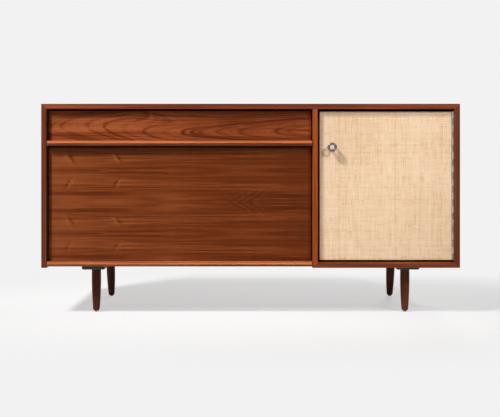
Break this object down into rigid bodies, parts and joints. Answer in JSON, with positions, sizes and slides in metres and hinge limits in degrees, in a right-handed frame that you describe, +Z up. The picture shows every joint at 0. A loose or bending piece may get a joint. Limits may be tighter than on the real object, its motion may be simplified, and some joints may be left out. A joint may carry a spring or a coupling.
{
  "type": "credenza",
  "caption": "Low mid-century walnut credenza with lip-pull drawers, a raffia-faced door with a ring pull, and tapered legs.",
  "frame": {"origin": "on the floor under the middle of the whole outline, ring pull included", "axes": "+X along the case to the door end, +Y from the front to the back, +Z up"},
  "size_m": [1.524, 0.4684, 0.769],
  "materials": {
    "case_walnut": "satin oiled walnut veneer",
    "lip_walnut": "satin solid walnut",
    "leg_walnut": "satin turned walnut",
    "box_wood": "pale sealed hardwood",
    "ply": "thin plywood",
    "raffia_cloth": "woven natural raffia",
    "pull_chrome": "polished steel",
    "hinge_steel": "plain steel",
    "screw_steel": "plain steel",
    "glide_steel": "plain steel",
    "black_plate": "satin black paint",
    "catch_body": "dark brown paint",
    "pin_brass": "plain brass"
  },
  "bodies": {
    "case": {"back_panel": "ply", "back_panel_screws": "screw_steel", "case_divider": "case_walnut", "case_left_bottom": "case_walnut", "case_left_side": "case_walnut", "case_right_bottom": "case_walnut", "case_right_side": "case_walnut", "case_top": "case_walnut", "catch_magnet": "catch_body", "catch_screws": "screw_steel", "deep_runner_left": "box_wood", "deep_runner_right": "box_wood", "drawer_rail": "box_wood", "hinge_case_leaf": "hinge_steel", "hinge_case_screws": "screw_steel", "hinge_pin": "hinge_steel", "leg_bolts": "screw_steel", "leg_front_left": "leg_walnut", "leg_front_right": "leg_walnut", "leg_glides": "glide_steel", "leg_plate_front_left": "black_plate", "leg_plate_front_right": "black_plate", "leg_plate_rear_left": "black_plate", "leg_plate_rear_right": "black_plate", "leg_plate_screws": "screw_steel", "leg_rear_left": "leg_walnut", "leg_rear_right": "leg_walnut", "runner_screws": "screw_steel", "shelf": "case_walnut", "shelf_pins": "pin_brass", "top_runner_left": "box_wood", "top_runner_right": "box_wood"},
    "top_drawer": {"top_drawer_bottom": "ply", "top_drawer_box_back": "box_wood", "top_drawer_box_front": "box_wood", "top_drawer_front": "case_walnut", "top_drawer_left_side": "box_wood", "top_drawer_lip": "lip_walnut", "top_drawer_right_side": "box_wood", "top_drawer_screws": "screw_steel"},
    "deep_drawer": {"deep_drawer_bottom": "ply", "deep_drawer_box_back": "box_wood", "deep_drawer_box_front": "box_wood", "deep_drawer_front": "case_walnut", "deep_drawer_left_side": "box_wood", "deep_drawer_lip": "lip_walnut", "deep_drawer_right_side": "box_wood", "deep_drawer_screws": "screw_steel"},
    "door": {"door_core": "case_walnut", "door_raffia": "raffia_cloth", "door_pull_ring": "pull_chrome", "door_pull_screws": "screw_steel", "hinge_door_leaf": "hinge_steel", "hinge_door_screws": "screw_steel", "catch_strike": "hinge_steel", "strike_screws": "screw_steel"}
  },
  "joints": [
    {"name": "top_drawer_slide", "type": "slide", "parent": "case", "child": "top_drawer", "axis": [0, -1, 0], "range_m": [0, 0.28]},
    {"name": "deep_drawer_slide", "type": "slide", "parent": "case", "child": "deep_drawer", "axis": [0, -1, 0], "range_m": [0, 0.28]},
    {"name": "door_hinge", "type": "hinge", "parent": "case", "child": "door", "pos_m": [0.74005, -0.20875, 0.4675], "axis": [0, 0, 1], "range_deg": [0, 95]}
  ]
}
